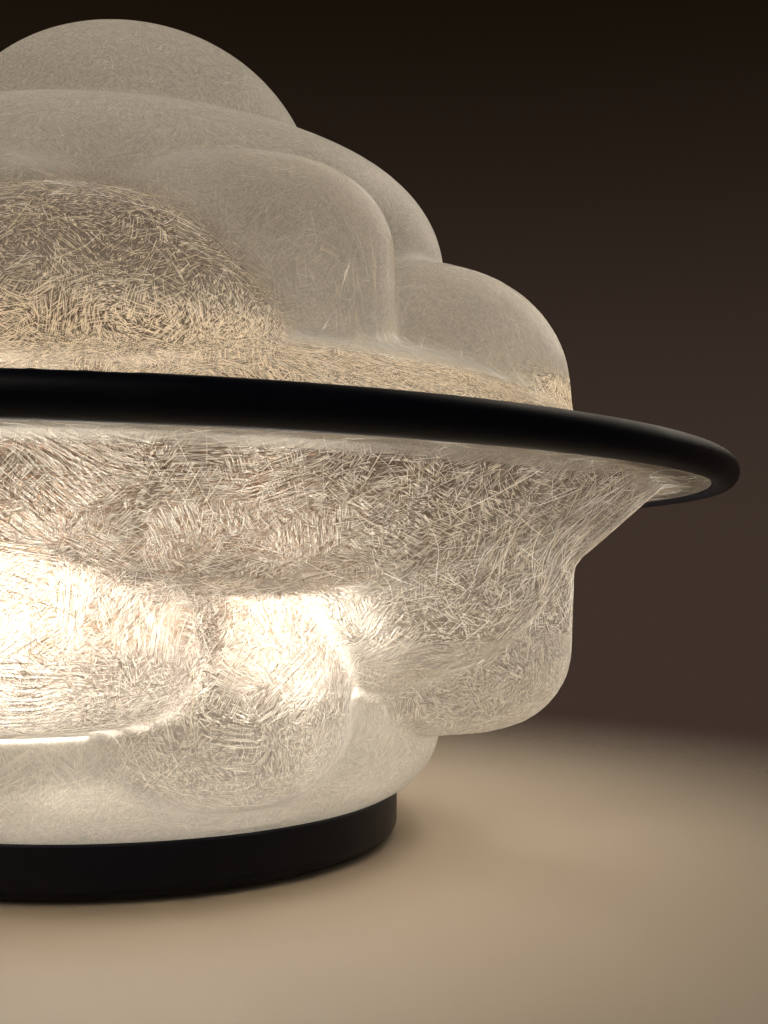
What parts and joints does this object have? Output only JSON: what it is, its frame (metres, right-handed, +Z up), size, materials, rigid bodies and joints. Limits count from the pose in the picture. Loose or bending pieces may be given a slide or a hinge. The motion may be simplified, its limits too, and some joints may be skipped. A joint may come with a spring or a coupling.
{
  "type": "floor lamp",
  "caption": "Low floor-standing lamp: translucent glass-fibre shells of rounded swells joined at a black rim ring, on a black disc base, lit from inside by screw-in bulbs.",
  "frame": {"origin": "centre of the footprint, on the floor", "axes": "+Z up along the lamp's axis; the pictured front faces -Y, with +X to the right"},
  "size_m": [0.6499, 0.65, 0.437],
  "materials": {
    "glass_fibre": "translucent glass fibre in clear resin, satin",
    "black_paint": "satin black",
    "zinc_steel": "zinc plated",
    "rubber": "matt",
    "foam": "matt foam strip",
    "porcelain": "white glaze",
    "brass": "bright",
    "cap_metal": "bright, rolled thread",
    "bulb_glass": "opal",
    "lead_sleeve": "glass-silk sleeve",
    "black_plastic": "fine-grained"
  },
  "bodies": {
    "base": {"base_disc": "black_paint", "base_cover": "zinc_steel", "cover_screws": "zinc_steel", "feet": "rubber", "lower_shell": "glass_fibre", "shell_clamp_ring": "zinc_steel", "clamp_screws": "zinc_steel", "rim_ring": "black_paint", "flange_gasket": "foam", "stem": "zinc_steel", "stem_nuts": "zinc_steel", "lamp_bracket": "zinc_steel", "lampholder_1": "porcelain", "lampholder_2": "porcelain", "lampholder_3": "porcelain", "screw_shells": "brass", "centre_contacts": "brass", "holder_screws": "zinc_steel", "terminal_block": "porcelain", "lamp_leads": "lead_sleeve", "cable_gland": "black_plastic", "gland_nut": "zinc_steel", "switch_housing": "black_plastic", "switch_nut": "zinc_steel"},
    "upper_shell": {"upper_shell": "glass_fibre"},
    "bulb_1": {"bulb_cap_1": "cap_metal", "bulb_glass_1": "bulb_glass"},
    "bulb_2": {"bulb_cap_2": "cap_metal", "bulb_glass_2": "bulb_glass"},
    "bulb_3": {"bulb_cap_3": "cap_metal", "bulb_glass_3": "bulb_glass"},
    "switch_button": {"switch_button": "black_plastic"}
  },
  "joints": [
    {"name": "shell_lift", "type": "slide", "parent": "base", "child": "upper_shell", "axis": [0, 0, 1], "range_m": [0, 0.2]},
    {"name": "bulb_1_turn", "type": "hinge", "parent": "base", "child": "bulb_1", "pos_m": [0.08844, -0.02536, 0.07], "axis": [0, 0, 1], "range_deg": [0, 1080]},
    {"name": "bulb_2_turn", "type": "hinge", "parent": "base", "child": "bulb_2", "pos_m": [-0.02226, 0.08927, 0.07], "axis": [0, 0, 1], "range_deg": [0, 1080]},
    {"name": "bulb_3_turn", "type": "hinge", "parent": "base", "child": "bulb_3", "pos_m": [-0.06618, -0.06391, 0.07], "axis": [0, 0, 1], "range_deg": [0, 1080]},
    {"name": "button_press", "type": "slide", "parent": "base", "child": "switch_button", "axis": [0.5, -0.866, 0], "range_m": [0, 0.0022], "stiffness_N_per_m": 600, "springref_m": -0.001}
  ]
}
